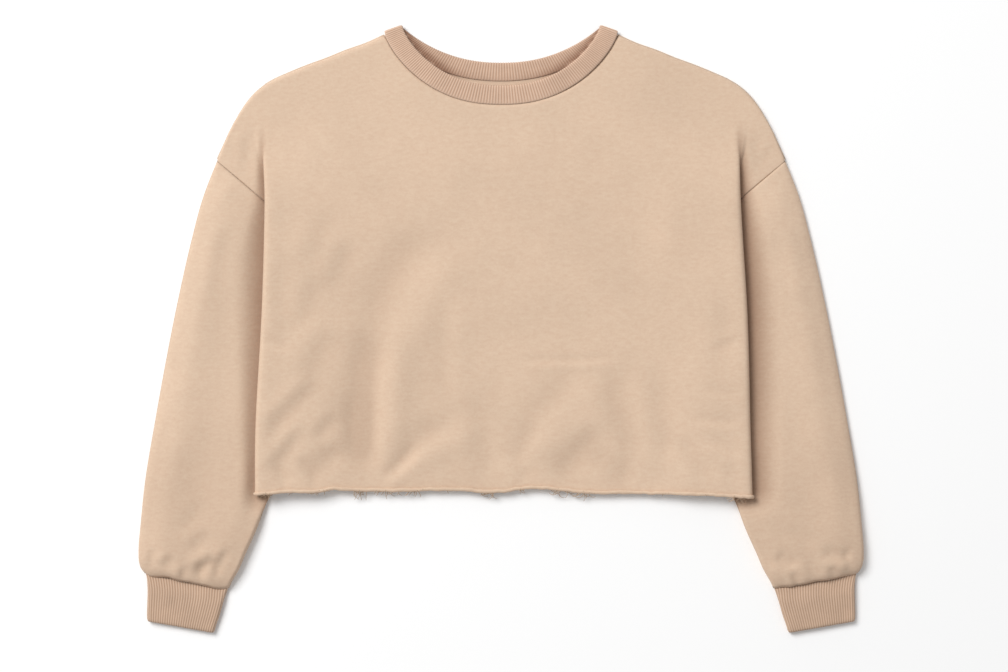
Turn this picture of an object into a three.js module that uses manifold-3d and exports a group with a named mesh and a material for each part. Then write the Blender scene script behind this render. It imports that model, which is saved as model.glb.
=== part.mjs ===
// Cropped crew-neck sweatshirt laid flat on a table, front up, neck toward +Y.
// Millimetres, +Z up, table at Z = 0. Cut and sewn pieces: front panel, back panel,
// two sleeves, two rib cuffs and the rib neckband, 0.3 mm apart along every seam.
import * as THREE from 'three';
import { mergeVertices } from 'three/addons/utils/BufferGeometryUtils.js';
import Module from 'manifold-3d';

const wasm = await Module();
wasm.setup();

// ---- cloth
const WALL = 2.0;            // brushed fleece
const RIB_WALL = 2.2;        // 1x1 rib, folded double
const SEAM_GAP = 0.3;        // between two pieces at a seam
const INNER_GAP = 0.8;       // between two layers that lie on each other
const TUBE_HEIGHT = 2 * WALL + INNER_GAP;      // one flattened tube
const OVER_SLEEVE = TUBE_HEIGHT + SEAM_GAP;    // the body's lift where it lies on a sleeve
const EDGE_RADIUS = TUBE_HEIGHT / 2;           // outside radius of a side fold
const LIFT_RAMP = 26;        // width over which the body climbs onto the sleeve
const FRONT_LEAD = 7;        // the front starts to climb this much sooner than the back
const EDGE_WALL = 0.8;       // what is left of the wall at the very edge of a rounded fold
const FOLD_LIP = 0.25;       // extra wall at the side folds, where the layers meet

// ---- body
const HEM_Y = -168;
const FOLD_WIDTH = 250;      // half width of the body at its side fold, chest level
const NECK_HALF = 122;       // neck seam's half width at the shoulder
const SHOULDER_Y = 311;      // highest point of the neck seam
const FRONT_NECK_Y = 236.8;  // front neck seam at the centre
const BACK_NECK_Y = 261.5;   // back neck seam at the centre
const FRONT_CURVE = { fullness: 2.3, steepness: 0.77 };   // how the front neck curve bends
const BACK_CURVE = { fullness: 2.2, steepness: 0.95 };
const UNDERARM = { x: 165, y: 65 };            // hidden lower end of the armhole seam
const SHOULDER_TIP = { x: 296.3, y: 178 };     // visible upper end of it
const SIDE_SEAM_TOP = 62;    // the body's side seam runs from here to the hem
const TUCK_TOP = 190;        // the tuck beside the armhole is fully folded below this
const TUCK_END = 215;        // and gone above this
const TUCK_OPENING = 0.2;    // how fast the tuck's edge runs inward above that, mm per mm
const TUCK_SINK = 1.4;       // the tuck's inner fold meets the layer under it
const TUCK_RISE = 1.2;       // its outer fold meets the body's side fold
const TUCK_CLEAR = 12;       // it only sinks this far above the armhole seam
const CAP_INNER = 184;       // the front's hidden layer reaches in to here
const CAP_SINK = 0.05;       // that layer lies this much lower than the body
const LEAST_HEIGHT = 0.6;    // shortest line up a panel, at its pointed corners
const SHOULDER_SLOPE = 0.9;  // distance from the sloping shoulder for each mm below it

const SIDE_FOLD = table(['y', 'x'], [
  [-168, 261], [-105, 258], [0, 254.5], [94, 250.5], [140, 250], [320, 250]]);

const SHOULDER_LINE = table(['x', 'y'], [
  [122, 311], [160, 295.5], [189, 283], [218.5, 270.4], [247, 258], [262.5, 245],
  [271, 233], [278, 220], [284.5, 204], [292, 189], [296.3, 178.6]]);

// where the body is lifted in full, by height up the body
const LIFT_EDGE = table(['y', 'x'], [
  [-168, 236], [-135, 222], [-95, 206], [-55, 190], [-15, 174], [25, 162], [60, 159],
  [81, 169], [100, 187], [137, 212], [160, 225], [190, 244], [215, 270], [320, 330]]);

// inner fold line of the tuck beside the armhole, then up to the shoulder
const TUCK_LINE = table(['x', 'y'], [
  [184, 92], [200, 115], [220, 150], [238, 200], [247, 257]]);

// the front's largest folds: soft ridges, from one end to the other
const FOLDS = table(['x0', 'y0', 'x1', 'y1', 'width', 'height'], [
  [-77, 85, -129, -54, 20, 2.6],
  [-129, -54, -138, -153, 18, 2.2],
  [-185, 130, -199, 54, 16, 1.6],
  [-205, -58, -240, -110, 14, 2.0],
  [-63, -96, -120, -146, 13, 1.8],
  [115, -57, 147, -132, 15, 1.6],
  [162, -32, 170, -139, 14, 1.8],
  [69, -53, 22, -107, 13, 1.4],
  [-31, -71, -13, -158, 13, 1.2]]);

const FOLD_FADE = 4;         // a fold rises within a quarter of its length at each end

// ---- sleeves and cuffs
// outer and inner edge of the flattened sleeve, from the armhole seam to the cuff seam
const SLEEVE_RINGS = table(['outerX', 'outerY', 'innerX', 'innerY', 'puff'], [
  [296.4, 177.2, 165.4, 64.4, 0], [303, 161, 166, 46, 0], [311, 141, 168, 25, 0],
  [323, 94, 180, -15, 0], [337, 31, 196, -55, 0], [349.5, -31, 212, -95, 0],
  [361, -94, 228, -135, 0], [371.5, -157, 244, -174, 0], [376.5, -200, 256, -208, 2.0],
  [377.5, -235, 268.5, -238, 3.2], [376, -246, 277, -257, 2.6], [373.6, -252.3, 285.4, -269.2, 0.2]]);
const CUFF_RINGS = table(['outerX', 'outerY', 'innerX', 'innerY', 'puff'], [
  [372.2, -253.6, 286, -270, 0], [371.2, -258, 287.5, -273.5, 0.5],
  [371, -280, 294, -294, 0.6], [370.6, -304, 301.5, -317.3, 0]]);
const TUBE_STEPS = [0.15, 0.38, 0.62, 0.85];   // shares of the width between the side folds
const ARC = { out: 1 - Math.SQRT1_2, up: Math.SQRT1_2 };   // middle of a fold's quarter round

// ---- neckband
const BAND_TIP = { x: 103, y: 317.5 };
const BAND_FRONT_Y = 256.8;  // inner edge of the front band at the centre
const BAND_BACK_Y = 280.9;   // upper edge of the back band at the centre
const BAND_STEPS = 16;       // sections along each half
const FOLD_STEPS = 4;        // sections round the fold at each shoulder

function table(names, rows) {
  return rows.map((row) => Object.fromEntries(names.map((name, i) => [name, row[i]])));
}

// straight-line reading of a table, rows in rising order of `from`
function read(rows, from, to, value) {
  const last = rows.length - 1;
  const end = rows.findIndex((row) => row[from] >= value);
  if (end === 0) return rows[0][to];
  if (end < 0) return rows[last][to];
  const a = rows[end - 1];
  const b = rows[end];
  return a[to] + (b[to] - a[to]) * (value - a[from]) / (b[from] - a[from]);
}

function smooth(share) {
  const s = Math.min(1, Math.max(0, share));
  return s * s * (3 - 2 * s);
}

// the neck curves all share one shape: full at the centre, steep at the shoulder
function neckCurve(x, half, topY, centreY, bend) {
  const share = Math.min(1, Math.abs(x) / half);
  return topY - (topY - centreY) * (1 - share ** bend.fullness) ** bend.steepness;
}

const frontNeck = (x) => neckCurve(x, NECK_HALF, SHOULDER_Y, FRONT_NECK_Y, FRONT_CURVE);
const backNeck = (x) => neckCurve(x, NECK_HALF, SHOULDER_Y, BACK_NECK_Y, BACK_CURVE);
const frontBand = (x) => neckCurve(x, BAND_TIP.x, BAND_TIP.y, BAND_FRONT_Y, FRONT_CURVE);
const backBand = (x) => neckCurve(x, BAND_TIP.x, BAND_TIP.y, BAND_BACK_Y, BACK_CURVE);

function shoulderY(x) {
  return read(SHOULDER_LINE, 'x', 'y', Math.abs(x));
}

function frontTopY(x) {
  return Math.abs(x) < NECK_HALF ? frontNeck(x) - SEAM_GAP : shoulderY(x);
}

function backTopY(x) {
  return Math.abs(x) < NECK_HALF ? backNeck(x) - SEAM_GAP : shoulderY(x);
}

function armholeY(x) {
  const share = (Math.abs(x) - UNDERARM.x) / (SHOULDER_TIP.x - UNDERARM.x);
  return UNDERARM.y + share * (SHOULDER_TIP.y - UNDERARM.y);
}

function lift(x, y, lead = 0) {
  const past = Math.abs(x) + lead - read(LIFT_EDGE, 'y', 'x', y);
  return OVER_SLEEVE * smooth(1 + past / LIFT_RAMP);
}

// drop of a rounded edge at a distance inside it
function edgeDrop(distance) {
  const share = Math.min(1, Math.max(0, distance / EDGE_RADIUS));
  return (EDGE_RADIUS - EDGE_WALL) * (1 - Math.sqrt(1 - (1 - share) ** 2));
}

function foldHeight(x, y) {
  let height = 0;
  for (const fold of FOLDS) {
    const along = new THREE.Vector2(fold.x1 - fold.x0, fold.y1 - fold.y0);
    const toPoint = new THREE.Vector2(x - fold.x0, y - fold.y0);
    const share = toPoint.dot(along) / along.lengthSq();
    const across = toPoint.cross(along) / along.length();
    const fade = smooth(FOLD_FADE * share) * smooth(FOLD_FADE * (1 - share));
    height += fold.height * fade * Math.exp(-((across / fold.width) ** 2));
  }
  return height;
}

// ---- solids
// closed sheet over a grid of places, each with a lower and an upper height
function sheetSolid(grid) {
  const rows = grid.length;
  const columns = grid[0].length;
  const positions = [];
  for (const side of ['low', 'high']) {
    for (const row of grid) {
      for (const point of row) positions.push(point.x, point.y, point[side]);
    }
  }
  const at = (row, column, upper) => (upper * rows + row) * columns + column;
  const faces = [];
  const quad = (a, b, c, d) => faces.push(a, b, c, a, c, d);
  for (let i = 0; i < rows - 1; i += 1) {
    for (let j = 0; j < columns - 1; j += 1) {
      quad(at(i, j, 1), at(i, j + 1, 1), at(i + 1, j + 1, 1), at(i + 1, j, 1));
      quad(at(i, j, 0), at(i + 1, j, 0), at(i + 1, j + 1, 0), at(i, j + 1, 0));
    }
  }
  for (let j = 0; j < columns - 1; j += 1) {
    quad(at(0, j, 0), at(0, j + 1, 0), at(0, j + 1, 1), at(0, j, 1));
    quad(at(rows - 1, j + 1, 0), at(rows - 1, j, 0), at(rows - 1, j, 1), at(rows - 1, j + 1, 1));
  }
  for (let i = 0; i < rows - 1; i += 1) {
    quad(at(i + 1, 0, 0), at(i, 0, 0), at(i, 0, 1), at(i + 1, 0, 1));
    const last = columns - 1;
    quad(at(i, last, 0), at(i + 1, last, 0), at(i + 1, last, 1), at(i, last, 1));
  }
  return closedGeometry(positions, faces);
}

// closed mesh through rings of equal length; a hollow run has inner rings too
function loftSolid(outer, inner, joined) {
  const count = outer[0].length;
  const rings = outer.length;
  const positions = [...outer, ...inner].flat(2);
  const faces = [];
  const at = (ring, i, hollow) => (hollow * rings + ring) * count + (i % count);
  const quad = (a, b, c, d) => faces.push(a, b, c, a, c, d);
  const spans = joined ? rings : rings - 1;
  for (let ring = 0; ring < spans; ring += 1) {
    const next = (ring + 1) % rings;
    for (let i = 0; i < count; i += 1) {
      quad(at(ring, i, 0), at(ring, i + 1, 0), at(next, i + 1, 0), at(next, i, 0));
      if (inner.length) quad(at(ring, i + 1, 1), at(ring, i, 1), at(next, i, 1), at(next, i + 1, 1));
    }
  }
  if (inner.length) {
    for (let i = 0; i < count; i += 1) {
      quad(at(0, i + 1, 0), at(0, i, 0), at(0, i, 1), at(0, i + 1, 1));
      quad(at(rings - 1, i, 0), at(rings - 1, i + 1, 0), at(rings - 1, i + 1, 1), at(rings - 1, i, 1));
    }
  }
  return closedGeometry(positions, faces);
}

// indexed geometry with its faces turned outward
function closedGeometry(positions, faces) {
  let volume = 0;
  const corner = (i) => new THREE.Vector3().fromArray(positions, 3 * i);
  for (let i = 0; i < faces.length; i += 3) {
    const [a, b, c] = faces.slice(i, i + 3).map(corner);
    volume += a.dot(b.cross(c));
  }
  const turned = volume < 0 ? faces.toReversed() : faces;
  const geometry = new THREE.BufferGeometry();
  geometry.setAttribute('position', new THREE.Float32BufferAttribute(positions, 3));
  geometry.setIndex(turned);
  return mergeVertices(geometry);
}

function toManifold(geometry) {
  return new wasm.Manifold(new wasm.Mesh({
    numProp: 3,
    vertProperties: new Float32Array(geometry.attributes.position.array),
    triVerts: new Uint32Array(geometry.index.array),
  }));
}

function joinSolids(geometries) {
  const joined = geometries.map(toManifold).reduce((a, b) => a.add(b));
  const mesh = joined.getMesh();
  const geometry = new THREE.BufferGeometry();
  geometry.setAttribute('position', new THREE.BufferAttribute(mesh.vertProperties, 3));
  geometry.setIndex(new THREE.BufferAttribute(mesh.triVerts, 1));
  return geometry;
}

// ---- panels
const NEAR_EDGE = [0, 0.6, 1.4, 2.4, 6];        // distances of the first lines inside an edge

// places of the band's sections across the neck, closer together toward the shoulders
function neckShare(step) {
  return Math.sin((step / BAND_STEPS - 0.5) * Math.PI);
}

// lines of a panel under the neck, from the centre out, at the band's own sections
function neckLines() {
  const inside = spaced(BAND_STEPS / 2, BAND_STEPS, BAND_STEPS / 2).map(neckShare);
  return [...inside.map((share) => share * NECK_HALF), NECK_HALF + SEAM_GAP];
}

// evenly spaced values from one end up to, but not onto, the other
function spaced(from, to, steps) {
  return Array.from({ length: steps }, (_, i) => from + (to - from) * i / steps);
}

// both halves of a set of lines that starts at the centre
function bothHalves(lines) {
  return [...lines.slice(1).map((x) => -x).reverse(), ...lines];
}

// places up one line of a panel, from its lower edge to its upper edge
function upLine(lowY, highY, steps, roundedTop) {
  const ends = roundedTop ? NEAR_EDGE.slice(0, 4).reverse() : [0];
  const top = highY - ends[0];
  return [...spaced(lowY, top, steps), ...ends.map((d) => highY - d)];
}

function gridOf(lines) {
  return lines[0].map((_, row) => lines.map((line) => line[row]));
}

function mirrored(grid) {
  return grid.map((row) => row.map((point) => ({ ...point, x: -point.x })).reverse());
}

function frontPoint(xLine, y) {
  const x = xLine * read(SIDE_FOLD, 'y', 'x', y) / FOLD_WIDTH;
  const inside = FOLD_WIDTH - Math.abs(xLine) + Math.max(0, y - TUCK_TOP) * TUCK_OPENING;
  const below = (shoulderY(x) - y) * SHOULDER_SLOPE;
  const edge = Math.abs(x) > NECK_HALF ? Math.min(inside, below) : inside;
  const base = WALL + INNER_GAP + lift(x, y, FRONT_LEAD) + foldHeight(x, y);
  const lip = y < TUCK_END && inside < NEAR_EDGE[3] ? FOLD_LIP : 0;
  return { x, y, low: base - lip, high: base + WALL - edgeDrop(edge) };
}

// mesh lines across each half of a panel, and steps up it
const FRONT = { lineFrom: 136, lineTo: 222, lines: 6, last: [222, 232, 240], steps: 12 };
const BACK = { lineFrom: 134, lines: 3, steps: 9, overlap: 4, sideTo: 242, sideLines: 9, sideSteps: 8 };
const CAP = { lines: 11, steps: 4 };
const TUCK = { rows: 12, innerStart: 10, innerLap: 4, outerClear: 1.2 };
const TUCK_SHARES = [0, 0.1, 0.35, 0.65, 0.94, 1];   // places across the tuck's middle layer

// the last lines before the side fold, closer and closer to it
function foldLines() {
  return NEAR_EDGE.map((distance) => FOLD_WIDTH - distance).reverse();
}

function frontPanel() {
  const between = spaced(FRONT.lineFrom, FRONT.lineTo, FRONT.lines);
  const half = [...neckLines(), ...between, ...FRONT.last, ...foldLines()];
  const lines = bothHalves(half).map((xLine) => (
    upLine(HEM_Y, frontTopY(xLine), FRONT.steps, true).map((y) => frontPoint(xLine, y))));
  const body = sheetSolid(gridOf(lines));
  const cap = capGrid(WALL + INNER_GAP - CAP_SINK, true);
  const tuck = tuckGrid();
  return joinSolids([body, ...[cap, mirrored(cap), tuck, mirrored(tuck)].map(sheetSolid)]);
}

// the panel beyond the side fold, up to the shoulder line and down to the armhole seam
function capGrid(level, isFront) {
  const innerX = isFront ? CAP_INNER : UNDERARM.x - BACK.overlap;
  const tuckLastX = TUCK_LINE[TUCK_LINE.length - 1].x;
  const lines = [];
  for (let i = 0; i <= CAP.lines; i += 1) {
    const x = innerX + (SHOULDER_TIP.x - innerX) * i / CAP.lines;
    const tucked = isFront && x < tuckLastX;
    const top = tucked ? read(TUCK_LINE, 'x', 'y', x) : shoulderY(x);
    const lowY = armholeY(x) + SEAM_GAP;
    lines.push(upLine(lowY, Math.max(top, lowY + LEAST_HEIGHT), CAP.steps, false).map((y) => {
      const drop = tucked ? 0 : edgeDrop(top - y + SEAM_GAP);
      return isFront
        ? { x, y, low: level, high: level + WALL - drop }
        : { x, y, low: level + drop, high: level + WALL };
    }));
  }
  return gridOf(lines);
}

// middle layer of the tuck, hidden between the body and the layer under it
function tuckGrid() {
  const rows = [];
  for (let i = 0; i <= TUCK.rows; i += 1) {
    const y = SIDE_SEAM_TOP + (TUCK_TOP - SIDE_SEAM_TOP) * i / TUCK.rows;
    const inner = Math.max(CAP_INNER - TUCK.innerStart, read(TUCK_LINE, 'y', 'x', y) - TUCK.innerLap);
    const outer = read(SIDE_FOLD, 'y', 'x', y) - TUCK.outerClear;
    const level = lift(FOLD_WIDTH, y);
    const row = [];
    for (const share of TUCK_SHARES) {
      const sink = share === 0 && y > armholeY(inner) + TUCK_CLEAR ? TUCK_SINK : 0;
      const rise = share === 1 ? TUCK_RISE : 0;
      const low = level - sink + rise;
      row.push({ x: inner + (outer - inner) * share, y, low, high: low + WALL });
    }
    rows.push(row);
  }
  return rows;
}

// above the side seam the back comes down to the table within this length
const BACK_SETTLE = 15;

function backPoint(x, y, sideDistance) {
  const fade = 1 - smooth((y - SIDE_SEAM_TOP) / BACK_SETTLE);
  const base = lift(x, Math.min(y, SIDE_SEAM_TOP)) * fade;
  const below = Math.abs(x) > NECK_HALF ? (shoulderY(x) - y) * SHOULDER_SLOPE : EDGE_RADIUS;
  const drop = edgeDrop(Math.min(sideDistance, below));
  const lip = sideDistance < NEAR_EDGE[3] ? FOLD_LIP : 0;
  return { x, y, low: base + drop, high: base + WALL + lip };
}

function backPanel() {
  const middleHalf = UNDERARM.x - BACK.overlap / 2;
  const sideStart = middleHalf - BACK.overlap;
  const half = [...neckLines(), ...spaced(BACK.lineFrom, middleHalf, BACK.lines), middleHalf];
  const middle = bothHalves(half).map((x) => (
    upLine(HEM_Y, backTopY(x), BACK.steps, true).map((y) => backPoint(x, y, EDGE_RADIUS))));
  const sideLines = [...spaced(sideStart, BACK.sideTo, BACK.sideLines), ...foldLines()];
  const side = sideLines.map((xLine) => {
    const reach = (xLine - sideStart) / (FOLD_WIDTH - sideStart);
    return upLine(HEM_Y, SIDE_SEAM_TOP - SEAM_GAP, BACK.sideSteps, false).map((y) => {
      const x = xLine + (read(SIDE_FOLD, 'y', 'x', y) - FOLD_WIDTH) * reach;
      return backPoint(x, y, FOLD_WIDTH - xLine);
    });
  });
  const sideGrid = gridOf(side);
  const cap = capGrid(0, false);
  const grids = [gridOf(middle), sideGrid, mirrored(sideGrid), cap, mirrored(cap)];
  return joinSolids(grids.map(sheetSolid));
}

// ---- sleeves
// section of a flattened tube: distance from its outer edge, height, and the same inside it
function tubeSection(width, wall, puff, height) {
  const r = height / 2;
  const flat = TUBE_STEPS.map((share) => r + (width - 2 * r) * share);
  const hollow = r - wall;
  const half = [
    { s: 0, z: 0, inS: wall, inZ: 0 },
    { s: r * ARC.out, z: r * ARC.up, inS: wall + hollow * ARC.out, inZ: hollow * ARC.up },
    { s: r, z: r, inS: r, inZ: hollow },
    ...flat.map((s) => ({ s, z: r, inS: s, inZ: hollow })),
    { s: width - r, z: r, inS: width - r, inZ: hollow },
    { s: width - r * ARC.out, z: r * ARC.up, inS: width - wall - hollow * ARC.out, inZ: hollow * ARC.up },
    { s: width, z: 0, inS: width - wall, inZ: 0 }];
  const bulge = (s) => puff * Math.max(0, Math.sin(Math.PI * s / width));
  const upper = half.map((p) => ({ ...p, z: r + p.z + bulge(p.s), inZ: r + p.inZ + bulge(p.s) }));
  const lower = half.slice(1, -1).reverse().map((p) => ({ ...p, z: r - p.z, inZ: r - p.inZ }));
  return [...upper, ...lower];
}

function tubeSolid(rings, wall, height, side) {
  const outer = [];
  const inner = [];
  for (const ring of rings) {
    const start = new THREE.Vector2(ring.outerX, ring.outerY);
    const along = new THREE.Vector2(ring.innerX, ring.innerY).sub(start);
    const width = along.length();
    along.normalize();
    const section = tubeSection(width, wall, ring.puff, height);
    const place = (s, z) => [side * (start.x + along.x * s), start.y + along.y * s, z];
    outer.push(section.map((p) => place(p.s, p.z)));
    inner.push(section.map((p) => place(p.inS, p.inZ)));
  }
  return loftSolid(outer, inner, false);
}

// ---- neckband
// one section: seam edge, free edge, middle height, and the way its outer face looks
function bandSection(seam, free, height, outward) {
  const half = RIB_WALL / 2;
  const corner = ([x, y], sign) => [
    x + sign * half * outward[0], y + sign * half * outward[1], height + sign * half * outward[2]];
  return [corner(seam, 1), corner(free, 1), corner(free, -1), corner(seam, -1)];
}

function neckband() {
  const lowMiddle = RIB_WALL / 2;
  const highMiddle = WALL + INNER_GAP + RIB_WALL / 2;
  const across = new THREE.Vector2(NECK_HALF - BAND_TIP.x, SHOULDER_Y - BAND_TIP.y).normalize();
  const sections = [];
  const run = (sign, seamCurve, freeCurve, height, up) => {
    for (let i = 0; i <= BAND_STEPS; i += 1) {
      const share = neckShare(i);
      const seamX = sign * share * NECK_HALF;
      const freeX = sign * share * BAND_TIP.x;
      sections.push(bandSection([seamX, seamCurve(seamX)], [freeX, freeCurve(freeX)], height, [0, 0, up]));
    }
  };
  const turn = (sign, rising) => {
    const middle = (lowMiddle + highMiddle) / 2;
    const radius = (highMiddle - lowMiddle) / 2;
    for (let i = 1; i < FOLD_STEPS; i += 1) {
      const angle = Math.PI * i / FOLD_STEPS * rising - rising * Math.PI / 2;
      const out = Math.cos(angle);
      const away = [-sign * across.y * out, across.x * out, Math.sin(angle)];
      const shift = radius * out;
      const seam = [sign * NECK_HALF + away[0] * shift, SHOULDER_Y + away[1] * shift];
      const free = [sign * BAND_TIP.x + away[0] * shift, BAND_TIP.y + away[1] * shift];
      sections.push(bandSection(seam, free, middle + radius * Math.sin(angle), away));
    }
  };
  run(1, frontNeck, frontBand, highMiddle, 1);
  turn(1, -1);
  run(-1, backNeck, backBand, lowMiddle, -1);
  turn(-1, 1);
  return loftSolid(sections, [], true);
}

// ---- the garment
function piece(name, geometry, color) {
  const material = new THREE.MeshStandardMaterial({ color, roughness: COTTON_ROUGHNESS, metalness: 0 });
  const mesh = new THREE.Mesh(geometry, material);
  mesh.name = name;
  return mesh;
}

const FLEECE = 0xdbbfa6;
const RIB = 0xcfae96;
const COTTON_ROUGHNESS = 0.95;

const sweatshirt = new THREE.Group();
sweatshirt.add(piece('front_panel', frontPanel(), FLEECE));
sweatshirt.add(piece('back_panel', backPanel(), FLEECE));
sweatshirt.add(piece('neck_rib', neckband(), RIB));
for (const [name, side] of [['left', -1], ['right', 1]]) {
  const sleeve = tubeSolid(SLEEVE_RINGS, WALL, TUBE_HEIGHT, side);
  const cuff = tubeSolid(CUFF_RINGS, RIB_WALL, 2 * RIB_WALL + INNER_GAP, side);
  sweatshirt.add(piece(`sleeve_${name}`, sleeve, FLEECE));
  sweatshirt.add(piece(`cuff_${name}`, cuff, RIB));
}

// origin: centre of the garment's box on the table
const LENGTH_CENTRE = new THREE.Box3().setFromObject(sweatshirt).getCenter(new THREE.Vector3());
sweatshirt.position.y = -LENGTH_CENTRE.y;

export default sweatshirt;
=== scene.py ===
import math
import random

import bpy
import numpy as np
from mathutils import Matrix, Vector, noise


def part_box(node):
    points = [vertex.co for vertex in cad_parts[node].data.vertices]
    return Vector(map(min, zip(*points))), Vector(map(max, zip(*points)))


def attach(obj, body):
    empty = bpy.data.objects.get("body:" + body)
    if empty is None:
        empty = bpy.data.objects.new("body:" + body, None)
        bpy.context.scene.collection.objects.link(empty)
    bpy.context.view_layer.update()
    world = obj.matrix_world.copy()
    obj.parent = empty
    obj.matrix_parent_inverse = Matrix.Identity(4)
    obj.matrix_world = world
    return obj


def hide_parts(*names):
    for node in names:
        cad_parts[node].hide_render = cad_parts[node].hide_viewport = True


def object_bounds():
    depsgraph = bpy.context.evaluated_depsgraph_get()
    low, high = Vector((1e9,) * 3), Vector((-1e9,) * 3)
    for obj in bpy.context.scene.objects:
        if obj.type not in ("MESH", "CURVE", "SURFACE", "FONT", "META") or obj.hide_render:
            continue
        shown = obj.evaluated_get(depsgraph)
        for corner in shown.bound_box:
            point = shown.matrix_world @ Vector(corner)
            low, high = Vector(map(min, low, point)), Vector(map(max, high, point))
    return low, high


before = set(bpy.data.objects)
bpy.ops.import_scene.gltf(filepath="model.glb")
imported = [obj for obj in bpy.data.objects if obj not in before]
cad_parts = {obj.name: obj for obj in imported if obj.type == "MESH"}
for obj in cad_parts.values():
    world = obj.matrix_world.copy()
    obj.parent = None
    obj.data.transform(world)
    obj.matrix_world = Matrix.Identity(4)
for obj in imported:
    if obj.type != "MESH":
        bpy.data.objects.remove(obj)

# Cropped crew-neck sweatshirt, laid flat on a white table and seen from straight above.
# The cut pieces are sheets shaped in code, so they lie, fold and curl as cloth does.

mm = 0.001
seamGap = 0.3     # mm between pieces that are sewn together
cadBox = [list(corner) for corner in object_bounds()]
widthCentre = (cadBox[0][0] + cadBox[1][0]) / 2
print("frame loaded, box in mm:", [[round(v / mm, 1) for v in c] for c in cadBox])

bpy.ops.object.select_all(action="DESELECT")


# small helpers

def smooth(share):
    share = np.clip(share, 0.0, 1.0)
    return share * share * (3 - 2 * share)


def eased(xs, ys, at):
    # smooth curve through a table's values
    slopes = np.gradient(ys, xs)
    n = np.clip(np.searchsorted(xs, at) - 1, 0, len(xs) - 2)
    gap = xs[n + 1] - xs[n]
    t = np.clip((at - xs[n]) / gap, 0, 1)
    return (ys[n] * (2 * t**3 - 3 * t**2 + 1) + slopes[n] * gap * (t**3 - 2 * t**2 + t)
            + ys[n + 1] * (3 * t**2 - 2 * t**3) + slopes[n + 1] * gap * (t**3 - t**2))


def readTable(rows, value):
    xs, ys = (np.array(column, float) for column in zip(*rows))
    return eased(xs, ys, np.asarray(value, float))


def softNoise(x, y, size, seed):
    # gentle lumps, about -1 to 1, size in mm
    values = np.empty(x.size)
    for i, (a, b) in enumerate(zip(x.ravel(), y.ravel())):
        values[i] = noise.noise(Vector((a / size, b / size, seed)))
    return values.reshape(x.shape)


creaseForm = {"fade": 3.2, "beside": 0.7, "besideWidth": 0.9}


def creaseField(x, y, rows):
    # each row is one crease: its line from x0, y0 to x1, y1, its width and its height in mm;
    # lean puts a lit ridge beside a trough, bow bends the line sideways
    height = np.zeros_like(x)
    for x0, y0, x1, y1, width, tall, lean, bow in rows:
        dx, dy = x1 - x0, y1 - y0
        length = math.hypot(dx, dy)
        share = ((x - x0) * dx + (y - y0) * dy) / length ** 2
        across = ((x - x0) * dy - (y - y0) * dx) / length
        across = across - bow * np.sin(np.pi * np.clip(share, 0, 1))
        fade = smooth(creaseForm["fade"] * share) * smooth(creaseForm["fade"] * (1 - share))
        main = np.exp(-((across / width) ** 2))
        apart = (across - lean) / (creaseForm["besideWidth"] * width)
        beside = np.exp(-(apart ** 2)) if lean else 0.0
        height += tall * fade * (main - creaseForm["beside"] * beside)
    return height


def meshPiece(name, points, faces):
    mesh = bpy.data.meshes.new(name)
    places = [(px * mm, py * mm, pz * mm) for px, py, pz in points]
    mesh.from_pydata(places, [], faces)
    mesh.update()
    piece = bpy.data.objects.new(name, mesh)
    bpy.context.collection.objects.link(piece)
    for polygon in mesh.polygons:
        polygon.use_smooth = True
    return piece


def activate(piece):
    bpy.ops.object.select_all(action="DESELECT")
    piece.select_set(True)
    bpy.context.view_layer.objects.active = piece


def giveWall(piece, thickness):
    activate(piece)
    wall = piece.modifiers.new("wall", "SOLIDIFY")
    wall.thickness = thickness * mm
    wall.offset = -1.0
    wall.use_even_offset = False
    wall.use_rim = True
    bpy.ops.object.modifier_apply(modifier=wall.name)


def recalcOutside(piece):
    activate(piece)
    bpy.ops.object.mode_set(mode="EDIT")
    bpy.ops.mesh.select_all(action="SELECT")
    bpy.ops.mesh.remove_doubles(threshold=0.00001)
    bpy.ops.mesh.normals_make_consistent(inside=False)
    bpy.ops.object.mode_set(mode="OBJECT")


def flipFaces(piece):
    activate(piece)
    bpy.ops.object.mode_set(mode="EDIT")
    bpy.ops.mesh.select_all(action="SELECT")
    bpy.ops.mesh.flip_normals()
    bpy.ops.object.mode_set(mode="OBJECT")


def placesOf(piece):
    # every corner of the piece, as x, y and z in mm
    return np.array([tuple(v.co) for v in piece.data.vertices]).T / mm


def gridFaces(rows, columns, closed=False, first=0):
    faces = []
    span = columns if closed else columns - 1
    for i in range(rows - 1):
        for j in range(span):
            k = (j + 1) % columns
            faces.append((first + i * columns + j, first + i * columns + k,
                          first + (i + 1) * columns + k, first + (i + 1) * columns + j))
    return faces


def lumpField(x, y, rows, scale=1.0):
    # each row is one size of lump: size, height, seed
    height = np.zeros_like(x)
    for size, tall, seed in rows:
        height += scale * tall * softNoise(x, y, size, seed)
    return height


def edgeDip(distance, reach, deep):
    # a rounded edge: full depth at the edge, none from the reach inward
    share = np.clip(distance / reach, 0, 1)
    return deep * (1 - np.sqrt(1 - (1 - share) ** 2))


def storeFloat(piece, name, values):
    layer = piece.data.attributes.new(name, "FLOAT", "POINT")
    layer.data.foreach_set("value", values)


# cut lines shared by all pieces, in mm

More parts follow.
